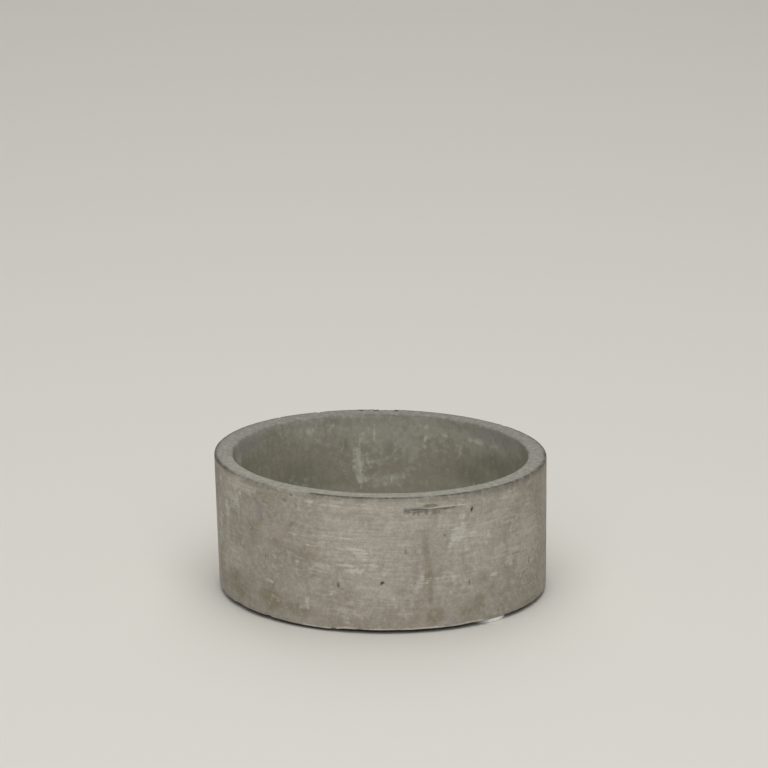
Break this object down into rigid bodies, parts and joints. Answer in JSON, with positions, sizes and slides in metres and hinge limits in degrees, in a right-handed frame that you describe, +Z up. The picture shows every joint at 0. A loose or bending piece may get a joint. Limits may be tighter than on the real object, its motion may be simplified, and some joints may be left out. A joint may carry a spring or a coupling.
{
  "type": "planter",
  "caption": "Low round concrete planter with a straight wall, a flat rim and a plugged drain hole, standing on three stick-on bumper pads.",
  "frame": {"origin": "on the table, under the middle of the pot", "axes": "+Z up along the pot's axis; -Y is the side that faces the camera in the picture, and +X is to its right"},
  "size_m": [0.18, 0.18, 0.0749],
  "materials": {
    "cast_concrete": "matte cast concrete, sanded, with faint cement bloom",
    "plug_rubber": "moulded, satin",
    "pad_polyurethane": "milky, translucent soft polyurethane, satin",
    "pad_adhesive": "translucent acrylic film"
  },
  "bodies": {
    "pot": {"planter_body": "cast_concrete", "foot_pad_1": "pad_polyurethane", "foot_pad_2": "pad_polyurethane", "foot_pad_3": "pad_polyurethane", "pad_adhesive_1": "pad_adhesive", "pad_adhesive_2": "pad_adhesive", "pad_adhesive_3": "pad_adhesive"},
    "plug": {"drain_plug": "plug_rubber"}
  },
  "joints": [
    {"name": "plug_pull", "type": "slide", "parent": "pot", "child": "plug", "axis": [0, 0, 1], "range_m": [0, 0.0705]}
  ]
}
